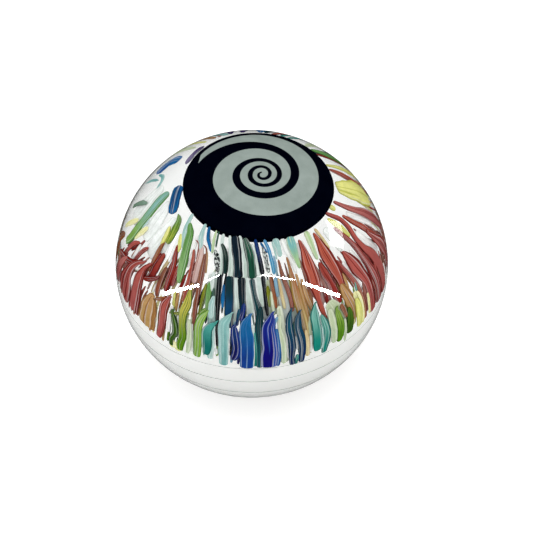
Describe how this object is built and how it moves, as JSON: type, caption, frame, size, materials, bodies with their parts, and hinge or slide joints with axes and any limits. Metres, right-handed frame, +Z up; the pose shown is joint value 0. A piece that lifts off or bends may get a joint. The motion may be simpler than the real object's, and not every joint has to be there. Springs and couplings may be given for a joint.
{
  "type": "glass paperweight",
  "caption": "Solid clear glass dome with a flat ground base, coloured canes fused inside it like meridians, and a dark disc with a pale spiral under the crown.",
  "frame": {"origin": "centre of the ground base, in the plane it rests on", "axes": "+Z up to the crown, -Y towards the front, +X to the right seen from the front"},
  "size_m": [0.076, 0.076, 0.0641],
  "materials": {
    "clear_glass": "polished",
    "ink_glass": "polished",
    "flecked_glass": "polished",
    "pale_grey_glass": "polished",
    "dark_green_glass": "polished",
    "green_glass": "polished",
    "pale_green_glass": "polished",
    "aqua_glass": "polished",
    "teal_glass": "polished",
    "blue_glass": "polished",
    "navy_glass": "polished",
    "ultramarine_glass": "polished",
    "purple_glass": "polished",
    "ruby_glass": "polished",
    "rose_glass": "polished",
    "tan_glass": "polished",
    "yellow_glass": "polished"
  },
  "bodies": {
    "root": {"clear_casing": "clear_glass", "clear_core": "clear_glass", "lower_cane_01_ruby_fan": "ruby_glass", "lower_cane_02_ruby_wide": "ruby_glass", "lower_cane_03_rose_wide": "rose_glass", "lower_cane_04_tan_wide": "tan_glass", "lower_cane_05_ruby_strip": "ruby_glass", "lower_cane_06_pine_green": "dark_green_glass", "lower_cane_07_olive_green": "green_glass", "lower_cane_08_lime": "green_glass", "lower_cane_09_teal": "teal_glass", "lower_cane_10_aqua": "aqua_glass", "lower_cane_11_navy": "navy_glass", "lower_cane_12_cobalt": "blue_glass", "lower_cane_13_ultramarine": "ultramarine_glass", "lower_cane_14_navy_teal_left": "navy_glass", "lower_cane_15_navy_teal_right": "navy_glass", "lower_cane_16_teal_green": "teal_glass", "lower_cane_17_grass_green": "green_glass", "lower_cane_18_rose_right": "rose_glass", "lower_cane_19_blue_rear": "blue_glass", "spiral_disc": "ink_glass", "spiral_inlay": "pale_grey_glass", "upper_cane_01_black_white": "flecked_glass", "upper_cane_02_dark_green": "dark_green_glass", "upper_cane_03_navy_green": "ink_glass", "upper_cane_04_bottle_green": "dark_green_glass", "upper_cane_05_ink_navy": "ink_glass", "upper_cane_06_mid_blue": "blue_glass", "upper_cane_07_pale_aqua": "aqua_glass", "upper_cane_08_aqua_leaf": "pale_green_glass", "upper_cane_09_near_black": "ink_glass", "upper_cane_10_dark_teal": "teal_glass", "upper_cane_11_black_teal": "ink_glass", "upper_cane_12_sea_teal": "teal_glass", "upper_cane_13_red_brown": "ruby_glass", "upper_cane_14_brown_tan": "tan_glass", "upper_cane_15_ruby_leaf": "ruby_glass", "upper_cane_16_pale_green": "pale_green_glass", "upper_cane_17_ruby_short": "ruby_glass", "upper_cane_18_ruby_broad": "ruby_glass", "upper_cane_19_ruby_long": "ruby_glass", "upper_cane_20_ruby_twin_left": "ruby_glass", "upper_cane_21_ruby_twin_right": "ruby_glass", "upper_cane_22_russet": "ruby_glass", "upper_cane_23_rose_side": "rose_glass", "upper_cane_24_yellow_side": "yellow_glass", "upper_cane_25_brown_rose": "rose_glass", "upper_cane_26_brown_red": "ruby_glass", "upper_cane_27_leaf_green": "green_glass", "upper_cane_28_moss_green": "green_glass", "upper_cane_29_aqua_lime": "aqua_glass", "upper_cane_30_blue_edge": "blue_glass", "upper_cane_31_ruby_left_wide": "ruby_glass", "upper_cane_32_ruby_left_hook": "ruby_glass", "upper_cane_33_purple_rear": "purple_glass", "upper_cane_34_cobalt_rear": "blue_glass", "upper_cane_35_aqua_rear": "aqua_glass", "upper_cane_36_ruby_rear": "ruby_glass", "upper_cane_37_green_rear": "green_glass"}
  },
  "joints": []
}
